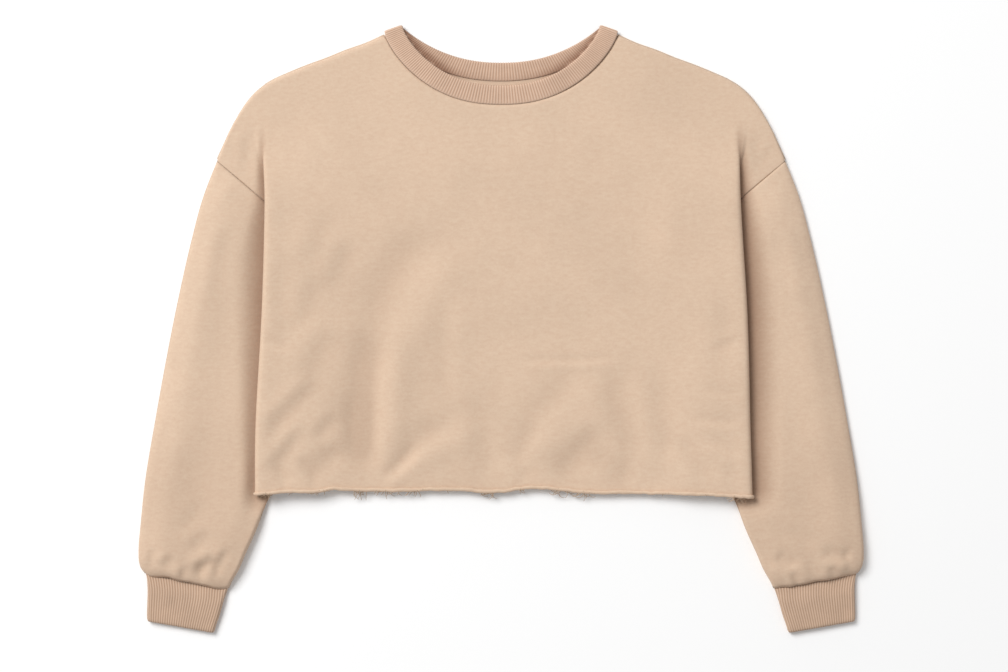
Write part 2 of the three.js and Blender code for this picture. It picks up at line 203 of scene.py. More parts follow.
body = {
    "hemY": -168.0, "neckHalf": 122.0, "shoulderY": 311.0, "frontNeckY": 236.8, "backNeckY": 261.5,
    "foldX": 250.0,
    # height up the body, half width there
    "sideFold": {-1: [(-168, 257.5), (-126, 257.5), (31, 250), (100, 248), (140, 247.5), (190, 250),
                      (320, 250)],
                 1: [(-168, 263), (-126, 261.5), (31, 257), (94, 253), (140, 250.5), (190, 250),
                     (320, 250)]},
    "shoulder": [(122, 311), (141, 302.2), (162, 294.8), (183, 286.2), (204, 278.5), (225, 269.8),
                 (239, 263.4), (251, 255.8), (262, 245.6), (270, 235.2), (278, 222), (285, 208.5),
                 (292, 192), (297.8, 178.6)],
    "underarm": (165.0, 65.0), "tip": (297.8, 178.0), "armholeTop": 137.4,
    # lower edge of the hem as it lies, left to right
    "hemLine": [(-264, -171), (-240, -170), (-225, -168.4), (-192, -168.4), (-178, -165.9),
                (-158, -166.8), (-116, -167.7), (-60, -166.7), (-40, -166.9), (-19, -168.9), (6, -168),
                (20, -165.5), (52, -165.5), (68, -167.5), (85, -169.3), (140, -169.9), (203, -171.2),
                (236, -172.6), (264, -174.5)],
    "tuckEnd": 222.0, "tuckFull": 150.0,     # the side fold fades out between these heights
    "edgeReach": 4.5,                        # the shoulder edge rounds off over this much
}
collar = {
    "tipX": 103.0, "tipY": 317.5, "frontY": 256.8, "backY": 280.9,
    "ribPitch": 2.9, "ribDepth": 0.2, "pointsPerRib": 6, "thickness": 2.3,
    "frontZ": 4.6, "backZ": 1.4, "shoulderRise": 2.4,
    "samples": 420, "turnSteps": 10,
    "foldSink": 0.9,        # front and back arcs close up by this much at the shoulder folds
    "innerLift": 3.2,       # the band's free edge stands up toward the shoulders
    "tightRibs": 0.5,       # and its ribs crowd together there
}


neckShape = {"front": (2.3, 0.77), "back": (2.2, 0.95)}     # fullness, steepness


def neckCurve(x, half, topY, centreY, fullness, steepness):
    share = np.minimum(1.0, np.abs(x) / half)
    return topY - (topY - centreY) * (1 - share ** fullness) ** steepness


def frontNeck(x):
    return neckCurve(x, body["neckHalf"], body["shoulderY"], body["frontNeckY"], *neckShape["front"])


def backNeck(x):
    return neckCurve(x, body["neckHalf"], body["shoulderY"], body["backNeckY"], *neckShape["back"])


def frontBand(x):
    return neckCurve(x, collar["tipX"], collar["tipY"], collar["frontY"], *neckShape["front"])


def backBand(x):
    return neckCurve(x, collar["tipX"], collar["tipY"], collar["backY"], *neckShape["back"])


def shoulderLine(x):
    return readTable(body["shoulder"], np.abs(x))


def armholeLine(x):
    ux, uy = body["underarm"]
    tx, ty = body["tip"]
    return uy + (np.abs(x) - ux) / (tx - ux) * (ty - uy)


def foldLine(y, side):
    return readTable(body["sideFold"][side], y)


def foldHere(x, y):
    # the side fold on whichever side x lies
    return np.where(x < 0, foldLine(y, -1), foldLine(y, 1))


# from these cut lines to the frame, where the hem of the CAD front lies, in mm
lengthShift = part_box("front_panel")[0][1] / mm - body["hemY"]


# front panel

front = {
    "step": 3.0,            # mesh spacing
    "middleZ": 7.8,         # top of the front where only the back lies under it
    "neckDrop": 2.6,        # it lies closer toward the neck seam
    "leastZ": 4.0,          # where a fold presses it onto the back
    "sideRise": 8.4,        # more where a sleeve lies under it
    "foldRise": 2.2,        # the side fold itself stands a little prouder
    "capZ": 6.4,            # shoulder cap beyond the side fold
    "riseFrom": 128, "riseOver": 112, "riseUnder": 0.92,   # and the back under it climbs almost as much
    "capFrom": 200, "capOver": 60, "foldTop": 120, "foldInset": 5, "foldWidth": 15,
    "neckFrom": 150, "neckOver": 90,
    "calmFrom": 90, "calmOver": 110, "calm": 0.75,          # the chest lies smoother than the hem
    "crumpleLow": -150, "crumpleOver": 110, "crumpleLeft": -60, "crumpleAcross": 90, "crumpleLeast": 0.35,
    "pressSoftness": 0.5, "wall": 1.7, "shadeCeiling": 11,
    "rollRoom": 9, "leadIn": 8, "rollSpan": 14, "rollSteps": 12, "capSteps": 20, "capTopY": 256,
    "edgeDrop": 3.3,        # the shoulder edge bends down to meet the back
    "sideSeam": {"fromFold": 6.5, "width": 0.8, "depth": 0.45, "topY": 40, "fadeOver": 30},
    "curl": 0.42,           # radius of the rolled raw edge
    "curlStretch": 1.15, "curlLeast": 0.25, "curlMost": 1.2, "hemRows": 9,
    "curlAngles": (-64, -38, -12, 14, 42, 72, 102, 134, 166),
    "curlNoise": [(23, 0.9, 2.2), (7, 0.5, 5.2)], "hemNoise": [(9, 0.6, 9.1), (4.0, 0.6, 3.7)],
    "lumps": [(95, 0.6, 3.1), (42, 0.34, 7.7), (17, 0.12, 12.3)],   # size, height, seed
    "crumples": [(30, 0.9, 51.3), (14, 0.42, 57.1)],                 # near the hem, most at the left
}
# x0, y0, x1, y1, width, height, lean, bow
frontCreases = [
    (-74, 112, -138, -12, 26, -3.4, -38, 4),
    (-134, 24, -148, -164, 21, -4.8, -30, 0),
    (-150, -60, -142, -164, 15, -1.8, 0, 0),
    (-72, 104, -124, -20, 16, 1.1, 0, 4),
    (-112, -10, -118, -150, 16, 1.0, 0, 2),
    (-60, -88, -122, -154, 14, -2.1, -22, 2),
    (-84, -116, -132, -162, 8, -1.8, -10, -2),
    (-32, -70, -80, -124, 15, -1.2, -20, -3),
    (-184, -52, -246, -116, 10, -1.8, 15, 3),
    (-206, -100, -244, -152, 8, -1.5, 11, -2),
    (-170, -88, -192, -118, 9, -1.3, 12, 2),
    (-158, -118, -204, -162, 11, -2.0, 0, 4),
    (-214, -132, -190, -164, 7, -1.4, 9, -2),
    (-236, -140, -222, -164, 6, -1.2, 8, 0),
    (-170, 130, -202, 60, 13, -0.7, 18, 3),
    (-150, 98, -178, 30, 12, -0.9, 17, 2),
    (-186, 66, -216, -10, 13, -1.0, 16, -2),
    (-164, 4, -206, -66, 16, -1.4, 20, 5),
    (-58, 44, -61, -84, 13, -1.0, -18, 2),
    (10, -30, 132, -27, 3.0, -0.7, 9, 1.5),
    (86, -36, 12, -124, 16, -1.3, -20, 3),
    (44, -96, 2, -146, 12, -1.0, -15, 2),
    (112, -36, 148, -150, 16, -2.2, 22, 3),
    (160, -26, 176, -152, 14, -1.5, 20, -3),
    (118, -98, 52, -163, 17, -2.6, 20, 3),
    (92, -124, 142, -163, 12, -2.0, 0, -2),
    (-30, -60, -8, -164, 15, -1.5, 19, 2),
    (18, -116, 32, -164, 11, -1.2, 14, 2),
    (196, -90, 256, -96, 6, -0.9, 9, 1),
    (210, -58, 254, -70, 6, -0.6, 9, 1),
    (186, -108, 222, -160, 11, -1.6, 14, 2),
    (216, -112, 252, -134, 7, -0.9, 10, -2),
    (230, -140, 256, -158, 7, -0.8, 9, 1),
    (178, 124, 214, 56, 16, -0.8, 19, 2),
    (-240, 74, -216, -16, 13, -0.8, 16, 2),
    (242, 50, 224, -50, 14, -0.7, 16, -2),
    (-112, 200, -62, 140, 22, -0.6, 26, 3),
    (116, 214, 74, 140, 22, -0.6, 26, -3),
    (-252, -8, -216, -18, 6, -0.6, 9, 1),
    (254, -8, 216, -22, 6, -0.6, 9, -1),
]
capCreases = [
    (-262, 214, -266, 158, 7, -0.8, 10, 1),
    (-284, 196, -270, 170, 6, -0.4, 8, 1),
    (266, 210, 270, 158, 8, -0.7, 10, -1),
    (286, 196, 272, 172, 6, -0.4, 8, -1),
]


def sideRise(x, y):
    # the body climbs slowly over the hidden part of each sleeve
    reach = smooth((np.abs(x) - front["riseFrom"]) / front["riseOver"])
    along = 1 - smooth((y - front["riseFrom"]) / (body["tuckEnd"] - front["riseFrom"]))
    return front["sideRise"] * reach * along


def frontTop(x, y):
    outer = smooth((np.abs(x) - front["capFrom"]) / front["capOver"])
    base = front["middleZ"] + (front["capZ"] - front["middleZ"]) * outer + sideRise(x, y)
    inside = foldHere(x, y) - np.abs(x)
    along = 1 - smooth((y - front["foldTop"]) / (body["tuckEnd"] - front["foldTop"]))
    proud = np.exp(-((inside - front["foldInset"]) / front["foldWidth"]) ** 2)
    base = base + front["foldRise"] * along * proud
    base = base - front["neckDrop"] * smooth((y - front["neckFrom"]) / front["neckOver"]) * (1 - outer)
    calm = 1 - front["calm"] * smooth((y - front["calmFrom"]) / front["calmOver"])
    height = base + creaseField(x, y, frontCreases)
    height += lumpField(x, y, front["lumps"]) * calm
    low = 1 - smooth((y - front["crumpleLow"]) / front["crumpleOver"])
    left = smooth((front["crumpleLeft"] - x) / front["crumpleAcross"])
    crumpled = front["crumpleLeast"] + (1 - front["crumpleLeast"]) * left
    height += lumpField(x, y, front["crumples"]) * low * crumpled
    # never lower than the back panel's top and the wall between them
    least = front["leastZ"] + front["riseUnder"] * sideRise(x, y)
    over = height - least
    return least + 0.5 * (over + np.sqrt(over ** 2 + front["pressSoftness"]))


# the valley beside each side fold, where a sleeve sinks under the body: its depth lowers the cloth there
# and also sets painted shade on it
valley = {
    # height up the body, how wide the shaded valley beside it is there
    "width": {-1: [(-200, 15), (-126, 16), (-40, 24), (30, 30), (80, 28), (110, 21), (137, 14), (180, 8),
                   (222, 4)],
              1: [(-200, 34), (-126, 36), (-40, 37), (60, 35), (100, 29), (137, 20), (180, 12), (222, 6)]},
    "topEnd": 226, "topFull": 160, "hemEnd": -200, "hemFull": -166, "floorZ": 3.7, "capFloor": 0.4,
    "share": {-1: 0.86, 1: 0.97},                     # how dark the painted shade is at its deepest
    "lowShare": 0.16, "lowFrom": 40, "lowOver": 150,  # and how much of it is lost toward the hem
    "sleeveEndShade": 0.12, "endFrom": -40, "endOver": 140,   # painted shade: the sleeves darken toward the cuffs
    "troughShade": 0.05,     # painted shade in the deepest folds too, for each mm of depth
    "fadeZ": 3, "lip": 6,
}


def valleyDepth(x, y, side):
    # 1 beside the body's side fold, where a sleeve sinks under it, 0 further out
    outside = np.abs(x) - foldLine(y, side)
    across = 1 - smooth(outside / readTable(valley["width"][side], y))
    top = 1 - smooth((y - valley["topFull"]) / (valley["topEnd"] - valley["topFull"]))
    low = smooth((y - valley["hemEnd"]) / (valley["hemFull"] - valley["hemEnd"]))
    return across * top * low


def storeShade(piece, side, ceiling):
    # painted shade: the valley's depth as a value on the cloth, for parts that lie below the ceiling;
    # side 0 is the body, with a valley at each side and painted shade in its own folds too
    x, y, z = placesOf(piece)
    share = np.where(x < 0, valley["share"][-1], valley["share"][1])
    share = share - valley["lowShare"] * smooth((valley["lowFrom"] - y) / valley["lowOver"])
    share = share * smooth((ceiling - z) / valley["fadeZ"])
    if side:
        shade = valleyDepth(x, y, side) * share
        # painted shade toward the cuffs
        ends = smooth((valley["endFrom"] - y) / valley["endOver"])
        shade = np.maximum(shade, valley["sleeveEndShade"] * ends)
    else:
        deep = np.where(x < 0, valleyDepth(x, y, -1), valleyDepth(x, y, 1))
        shown = smooth((np.abs(x) - foldHere(x, y) + valley["lip"]) / valley["lip"])
        # painted shade in the troughs of the body's own folds
        trough = np.clip(-creaseField(x, y, frontCreases), 0, 5) * valley["troughShade"]
        shade = np.maximum(deep * shown * share, trough * smooth((body["foldX"] - np.abs(x)) / 12))
    storeFloat(piece, "shade", shade)


def sideRoll(foldX, topZ, radius, share):
    # the side fold in section: a lead-in from the panel, then half a turn under
    if share < 0.5:
        x = foldX - front["leadIn"] * (1 - math.sin(math.pi * share) ** 0.9)
        bent = np.clip((x - (foldX - radius)) / radius, 0, 1)
        return x, topZ - radius * (1 - np.sqrt(1 - bent ** 2))
    angle = math.pi * share
    return foldX - radius * (1 - math.sin(angle)), topZ - radius * (1 - math.cos(angle))


def frontHalf(side, shares, split, topAtFold):
    # columns of cloth from the centre line out: the panel and its side fold, then the shoulder cap
    foldX, hemY, armTop = body["foldX"], body["hemY"], body["armholeTop"]
    columns = []
    innerEnd = foldX - front["rollRoom"]
    for x0 in np.linspace(0, innerEnd, int(round(innerEnd / front["step"])) + 1):
        top = frontNeck(x0) - seamGap if x0 < body["neckHalf"] else shoulderLine(x0)
        y = hemY + (top - hemY) * shares
        x = x0 * foldLine(y, side) / foldX
        columns.append((x, y, frontTop(side * x, y)))
    yFold = hemY + (topAtFold - hemY) * shares
    rolled = 1 - smooth((yFold - body["tuckFull"]) / (body["tuckEnd"] - body["tuckFull"]))
    fraction = np.clip((shares - split) / (1 - split), 0, 1)
    high = shares >= split - 1e-9
    xFold = foldLine(yFold, side)
    topZ = frontTop(side * (xFold - 6), yFold)
    radius = np.maximum(0.3, (topZ - front["capZ"] + 0.9) / 2)
    for share in np.arange(1, front["rollSteps"] + 1) / front["rollSteps"]:
        flatX = xFold - front["leadIn"] + front["rollSpan"] * share
        flatZ = frontTop(side * flatX, yFold)
        rollX, rollZ = sideRoll(xFold, topZ, radius, share)
        y = np.where(high, armTop + (shoulderLine(flatX) - armTop) * fraction, yFold)
        columns.append((flatX + (rollX - flatX) * rolled, y, flatZ + (rollZ - flatZ) * rolled))

    panel = []
    seam = front["sideSeam"]
    for x, y, z in columns:
        onShoulder = np.abs(x) > body["neckHalf"]
        z = z - edgeDip(np.where(onShoulder, (shoulderLine(x) - y) * 0.9, 99), body["edgeReach"],
                        front["edgeDrop"])
        z = z - edgeDip(np.where(onShoulder, 99, frontNeck(x) - seamGap - y), 2.0, 0.5)
        fromSeam = foldLine(y, side) - x - seam["fromFold"]
        below = 1 - smooth((y - seam["topY"]) / seam["fadeOver"])
        z = z - seam["depth"] * np.exp(-((fromSeam / seam["width"]) ** 2)) * below
        panel.append((False, np.stack([side * x, y, z], axis=1)))

    startX = columns[-1][0]
    for share in np.arange(1, front["capSteps"] + 1) / front["capSteps"]:
        x = startX + (body["tip"][0] - seamGap - startX) * share
        armY = armholeLine(x) - 0.5
        y = armY + np.maximum(0.2, shoulderLine(x) - armY) * fraction
        z = front["capZ"] + lumpField(side * x, y, front["lumps"], 0.5)
        z = z + creaseField(side * x, y, capCreases)
        z = z - valleyDepth(x, y, side) * (front["capZ"] - valley["floorZ"] - valley["capFloor"])
        z = z - edgeDip(y - armY, 1.5, 0.45)
        z = z - edgeDip((shoulderLine(x) - y) * 0.85, body["edgeReach"], front["edgeDrop"])
        panel.append((True, np.stack([side * x, y, z], axis=1)))
    return panel


def buildFront():
    hemY, armTop = body["hemY"], body["armholeTop"]
    topAtFold = float(shoulderLine(body["foldX"]))
    split = (armTop - hemY) / (topAtFold - hemY)
    lowRows = int(round((armTop - hemY) / front["step"]))
    highRows = int(round((front["capTopY"] - armTop) / front["step"]))
    shares = np.concatenate([np.linspace(0, split, lowRows + 1), np.linspace(split, 1, highRows + 1)[1:]])
    left, right = (frontHalf(side, shares, split, topAtFold) for side in (-1, 1))
    columns = left[::-1] + right[1:]

    points, faces, corner = [], [], []
    for isCap, places in columns:
        rows = [r for r in range(shares.size) if not isCap or shares[r] >= split - 1e-9]
        corner.append({r: len(points) + n for n, r in enumerate(rows)})
        points += [list(places[r]) for r in rows]
    for here, beside in zip(corner, corner[1:]):
        shared = sorted(here.keys() & beside.keys())
        faces += [(here[r], beside[r], beside[up], here[up]) for r, up in zip(shared, shared[1:])]

    # the raw edge curls up over itself: extra rows below the first one
    panel = [corner[n] for n, (isCap, _) in enumerate(columns) if not isCap]
    base = np.array([points[column[0]] for column in panel])
    level = np.zeros(len(base))
    curlSize = front["curl"] * (1 + lumpField(base[:, 0], level, front["curlNoise"]))
    curlSize = np.clip(curlSize, front["curlLeast"], front["curlMost"])
    hemWave = readTable(body["hemLine"], base[:, 0]) - hemY + front["curlStretch"] * curlSize
    hemWave = hemWave + lumpField(base[:, 0], level, front["hemNoise"])
    for n, column in enumerate(panel):
        for r in range(front["hemRows"]):
            points[column[r]][1] += hemWave[n] * (1 - r / front["hemRows"])
    previous = [column[0] for column in panel]
    for angle in front["curlAngles"]:
        turn = math.radians(angle)
        row = [len(points) + n for n in range(len(panel))]
        for (x, y, z), wave, size in zip(base, hemWave, curlSize):
            back = size * math.cos(turn) * front["curlStretch"]
            points.append([x, y + wave - back, z + size + size * math.sin(turn)])
        faces += [(row[j], row[j + 1], previous[j + 1], previous[j]) for j in range(len(row) - 1)]
        previous = row
    piece = meshPiece("front_sheet", points, faces)
    recalcOutside(piece)
    return piece, base, hemWave


frontPiece, hemBase, hemWave = buildFront()
if sum(p.normal.z * p.area for p in frontPiece.data.polygons) < 0:
    flipFaces(frontPiece)
giveWall(frontPiece, front["wall"])
storeShade(frontPiece, 0, front["shadeCeiling"])
print("front panel:", len(frontPiece.data.polygons), "faces")


# painted shade inside the neck, on the back panel and the back arc of the band
neckShade = {
    "lowestY": 235, "topZ": 4.2, "edge": 1.5, "edgeOver": 2.5,
    "middle": 0.42, "middleHalf": 15, "middleOver": 60,     # lighter behind the middle of the neck
    "leftMore": 0.45, "leftFrom": 40, "leftOver": 40,
    "fall": 0.8, "fallOver": 15,                            # and lighter away from the front band
}


def storeNeckShade(piece):
    # painted shade: the inside of the neck is darkened as if in the front band's shade, deepest toward the
    # left shoulder
    x, y, z = placesOf(piece)
    beyond = y - frontBand(x)
    inside = smooth((beyond + neckShade["edge"]) / neckShade["edgeOver"])
    inside = inside * (np.abs(x) < collar["tipX"] + 3) * (y > neckShade["lowestY"])
    outward = smooth((np.abs(x) - neckShade["middleHalf"]) / neckShade["middleOver"])
    aside = neckShade["middle"] + (1 - neckShade["middle"]) * outward
    leftward = (x < 0) * smooth((np.abs(x) - neckShade["leftFrom"]) / neckShade["leftOver"])
    aside = aside * (1 + neckShade["leftMore"] * leftward)
    near = 1 - neckShade["fall"] * smooth(beyond / neckShade["fallOver"])
    storeFloat(piece, "shade", np.minimum(inside * aside * near, 1) * (z < neckShade["topZ"]))


# back panel, under the front

back = {
    "step": 5.0, "rows": 88, "z": 2.0,
    "short": 1.2,           # its hem ends a little above the front's
    "edgeLift": 0.72,       # its shoulder edge rises to meet the front
    "capOverlap": 40, "capAcross": 16, "capAlong": 12, "wall": 1.9,
}


def backLift(x, y):
    return float(edgeDip(np.array((shoulderLine(x) - y) * 0.9), body["edgeReach"], back["edgeLift"]))


def buildBack():
    foldX = body["foldX"]
    xs = np.linspace(-foldX + 3, foldX - 3, int(2 * foldX / back["step"]) + 1)
    vs = np.linspace(0, 1, back["rows"])
    points = []
    low = body["hemY"] + back["short"]
    for v in vs:
        for x0 in xs:
            atNeck = abs(x0) < body["neckHalf"]
            top = backNeck(x0) - seamGap if atNeck else float(shoulderLine(x0))
            y = low + (top - low) * v
            x = x0 * float(foldLine(y, -1 if x0 < 0 else 1)) / foldX
            z = back["z"] + front["riseUnder"] * float(sideRise(x, y))
            points.append((x, y, z if atNeck else z + backLift(x, y)))
    faces = gridFaces(len(vs), len(xs))
    # the caps beyond the side folds lie on the table
    for side in (-1, 1):
        first = len(points)
        capXs = np.linspace(foldX - back["capOverlap"], body["tip"][0] - 0.6, back["capAcross"])
        for share in np.linspace(0, 1, back["capAlong"]):
            for x0 in capXs:
                armY = float(armholeLine(x0)) + 0.5
                y = armY + max(0.3, float(shoulderLine(x0)) - armY) * share
                points.append((side * x0, y, back["z"] + backLift(x0, y)))
        patch = gridFaces(back["capAlong"], back["capAcross"], first=first)
        faces += patch if side == 1 else [tuple(reversed(f)) for f in patch]
    return meshPiece("back_sheet", points, faces)


backPiece = buildBack()
giveWall(backPiece, back["wall"])
storeNeckShade(backPiece)
print("back panel:", len(backPiece.data.polygons), "faces")


# sleeves: one flat tube each, outer edge to inner edge

sleeve = {
    # outerX, outerY, innerX, innerY, height, puff toward the outer edge
    "rings": [
        (297.8, 177.3, 165.4, 64.6, 6.0, 1.2), (304.5, 161, 166, 46, 6.0, 2.4),
        (312, 141, 168, 25, 6.0, 3.0), (324.8, 94, 180, -15, 6.0, 3.4), (339, 31, 196, -55, 6.0, 3.6),
        (351.3, -31, 212, -95, 6.2, 3.8), (362.6, -94, 228, -135, 7.0, 3.8),
        (373, -157, 244, -174, 9.0, 3.6), (377.4, -200, 256, -208, 11.4, 2.6),
        (379.8, -232, 268.5, -236, 12.6, 2.0), (379.2, -243, 275, -251, 12.2, 1.4),
        (376.4, -251, 283, -265, 9.6, 0.6), (373.6, -254.6, 285.6, -270.6, 7.0, 0)],
    "around": 96, "along": 150, "edgeRadius": 3.4, "crown": 2.8, "crownEdge": 30, "crownStart": 40,
    "puffAt": 26, "puffWidth": 24, "wall": 1.6, "least": 1.2, "shadeCeiling": 30,
    "gather": 2.4, "gatherReach": 14, "gatherSize": 17, "gatherSeed": 61.3,   # scallops over the cuff seam
    "lumps": [(70, 0.55, 21.3), (28, 0.28, 33.1), (12, 0.10, 41.9)],
}
sleeveCreases = {
    -1: [(-292, -240, -320, -258, 8, -3.2, 12, 2), (-311, -240, -316, -262, 6, -1.7, -8, 1),
         (-340, -236, -354, -250, 6.5, -1.7, 8, 1), (-330, -246, -334, -262, 4, -1.8, 6, 0),
         (-300, -210, -324, -236, 9, -1.3, 12, 2), (-284, -226, -300, -262, 5, -1.8, 7, 1),
         (-362, -226, -366, -250, 4.5, -1.0, 6, 1), (-306, -176, -330, -214, 10, -0.7, 12, 2),
         (-282, 120, -300, 20, 9, -0.6, 12, 2), (-322, -60, -352, -130, 11, -0.6, 14, 2),
         (-270, 150, -306, 104, 7, -0.5, 9, 1)],
    1: [(334, -230, 368, -238, 8, -2.7, 10, 2), (343, -246, 350, -260, 5.5, -2.2, 7, 0),
        (286, -234, 310, -248, 8, -2.7, 10, 2), (304, -252, 312, -268, 4.5, -2.4, 6, 0),
        (320, -238, 330, -262, 5, -1.2, 7, 1), (360, -226, 366, -250, 4.5, -1.0, 6, 1),
        (300, -206, 326, -230, 8, -0.8, 10, -2), (306, -176, 336, -206, 10, -0.7, 12, 2),
        (282, 120, 300, 20, 9, -0.6, 12, -2), (322, -60, 352, -130, 11, -0.6, 14, -2),
        (270, 150, 306, 104, 7, -0.5, 9, 1)],
}


def ringTable(rows, count):
    # even steps along the tube, eased through the table's rows
    rows = np.array(rows, float)
    middle = (rows[:, 0:2] + rows[:, 2:4]) / 2
    run = np.concatenate([[0], np.cumsum(np.hypot(*np.diff(middle, axis=0).T))])
    at = np.linspace(0, run[-1], count)
    return np.array([eased(run, column, at) for column in rows.T]).T, at


def tubeAround(count):
    # places round a flat tube: share across the width, and +1 on the upper side, -1 below
    upper = (1 - np.cos(np.linspace(0, math.pi, count // 2 + 1))) / 2
    lower = upper[1:-1][::-1]
    return np.concatenate([upper, lower]), np.concatenate([np.ones(upper.size), -np.ones(lower.size)])



def buildSleeve(side):
    rings, at = ringTable(sleeve["rings"], sleeve["along"])
    share, sign = tubeAround(sleeve["around"])
    upper = sign > 0
    points = []
    for (ox, oy, ix, iy, height, puff), run in zip(rings, at):
        width = math.hypot(ix - ox, iy - oy)
        s = share * width
        edge = np.minimum(s, width - s)
        # the last of the sleeve puffs over the cuff seam in uneven scallops
        gather = sleeve["gather"] * smooth(1 - (at[-1] - run) / sleeve["gatherReach"])
        scallop = 0.5 + softNoise(s, s * 0, sleeve["gatherSize"], sleeve["gatherSeed"] + side)
        wave = gather * scallop * upper * smooth(s / 6) * smooth((width - s) / 6)
        x = ox + (ix - ox) * share + wave * (iy - oy) / width
        y = oy + (iy - oy) * share + wave * (ix - ox) / width
        radius = min(sleeve["edgeRadius"] + 0.25 * puff, width / 2)
        roundness = np.sqrt(np.clip(1 - (1 - np.clip(edge / radius, 0, 1)) ** 2, 0, 1))
        hump = puff * np.exp(-(((s - sleeve["puffAt"]) / sleeve["puffWidth"]) ** 2)) * smooth(s / 8)
        rounded = smooth(s / sleeve["crownEdge"]) * smooth((width - s) / sleeve["crownEdge"])
        crown = sleeve["crown"] * rounded * smooth(run / sleeve["crownStart"])
        lowerZ = height / 2 * (1 - roundness)
        z = np.where(upper, height / 2 * (1 + roundness) + hump + crown, lowerZ)
        z = z + (np.minimum(z, valley["floorZ"]) - z) * np.where(upper, valleyDepth(x, y, side), 0.0)
        crease = creaseField(side * x, y, sleeveCreases[side]) + lumpField(side * x, y, sleeve["lumps"])
        z = z + upper * smooth(edge / 10) * crease
        seam = edgeDip(np.array(run), 1.5, 0.45) + edgeDip(np.array(at[-1] - run), 2.2, 0.9)
        z = np.where(upper, np.maximum(z - seam, lowerZ + sleeve["least"]), z)
        points += [(side * a, b, c) for a, b, c in zip(x, y, z)]
    faces = gridFaces(len(at), share.size, closed=True)
    piece = meshPiece("sleeve_sheet_left" if side < 0 else "sleeve_sheet_right", points, faces)
    middle = Vector(placesOf(piece).mean(axis=1) * mm)
    if sum((p.center - middle).dot(p.normal) * p.area for p in piece.data.polygons) < 0:
        flipFaces(piece)
    giveWall(piece, sleeve["wall"])
    storeShade(piece, side, sleeve["shadeCeiling"])
    return piece


sleeves = {side: buildSleeve(side) for side in (-1, 1)}
print("sleeves:", len(sleeves[1].data.polygons), "faces each")


# rib cuffs: a folded double rib tube, its ribs run along the arm

cuff = {
    "rings": [(373.0, -253.6, 286.0, -269.8, 5.6, 0), (371.6, -260, 288.2, -275, 6.4, 0),
              (370.6, -270, 291.2, -284, 8.0, 0), (370.8, -284, 295.2, -298, 7.8, 0),
              (371.2, -300, 300.0, -312, 7.4, 0), (371.0, -305.0, 301.4, -317.2, 7.0, 0)],
    "ribPitch": 2.6, "ribDepth": 0.24, "wall": 2.2, "along": 22, "pointsPerRib": 6, "halfRound": 80,
    "innerRib": 0.3, "lump": 0.5,
}



def tubePlace(d, flat, r):
    # a flat tube in section, d mm round from its outer edge: place across and up, and which way is out
    turn = math.pi * r
    if d < flat:
        return r + d, 2 * r, 0.0, 1.0
    if d < flat + turn:
        a = (d - flat) / r
        return r + flat + r * math.sin(a), r + r * math.cos(a), math.sin(a), math.cos(a)
    if d < 2 * flat + turn:
        return r + 2 * flat + turn - d, 0.0, 0.0, -1.0
    a = (d - 2 * flat - turn) / r
    return r - r * math.sin(a), r - r * math.cos(a), -math.sin(a), -math.cos(a)


def buildCuff(side):
    rings, at = ringTable(cuff["rings"], cuff["along"])
    count = int(round(2 * cuff["halfRound"] / cuff["ribPitch"])) * cuff["pointsPerRib"]
    outer, inner, groove = [], [], []
    for (ox, oy, ix, iy, height, _), run in zip(rings, at):
        width = math.hypot(ix - ox, iy - oy)
        r = height / 2
        flat = width - 2 * r
        around = 2 * flat + 2 * math.pi * r
        sink = float(edgeDip(np.array(run), 2.0, 0.6)) + float(edgeDip(np.array(at[-1] - run), 1.6, 0.8))
        outerRing, innerRing = [], []
        for n in range(count):
            s, z, outX, outZ = tubePlace(around * n / count, flat, r)
            rib = math.cos(2 * math.pi * n / cuff["pointsPerRib"])
            groove.append(0.5 - 0.5 * rib)
            z += cuff["lump"] * noise.noise(Vector((s / 16, run / 20, 5.5 * side))) * max(0.0, outZ)
            offset = cuff["ribDepth"] * rib - sink
            for ring, move in ((outerRing, offset), (innerRing, offset * cuff["innerRib"] - cuff["wall"])):
                share = (s + outX * move) / width
                place = (side * (ox + (ix - ox) * share), oy + (iy - oy) * share)
                ring.append((*place, max(0.05, z + outZ * move)))
        outer.append(outerRing)
        inner.append(innerRing)
    rows = outer + inner[::-1]
    points = [p for ring in rows for p in ring]
    faces = gridFaces(len(rows), count, closed=True)
    last = (len(rows) - 1) * count
    faces += [(last + j, last + (j + 1) % count, (j + 1) % count, j) for j in range(count)]
    piece = meshPiece("cuff_sheet_left" if side < 0 else "cuff_sheet_right", points, faces)
    # where the rib's furrows lie, for their painted shade
    storeFloat(piece, "groove", groove + groove)
    # the cuffs carry no painted shade, but the rib material reads the value
    storeFloat(piece, "shade", np.zeros(len(points)))
    recalcOutside(piece)
    return piece


cuffs = {side: buildCuff(side) for side in (-1, 1)}
print("cuffs:", len(cuffs[1].data.polygons), "faces each")


# neckband: one closed loop of rib, folded at both shoulders

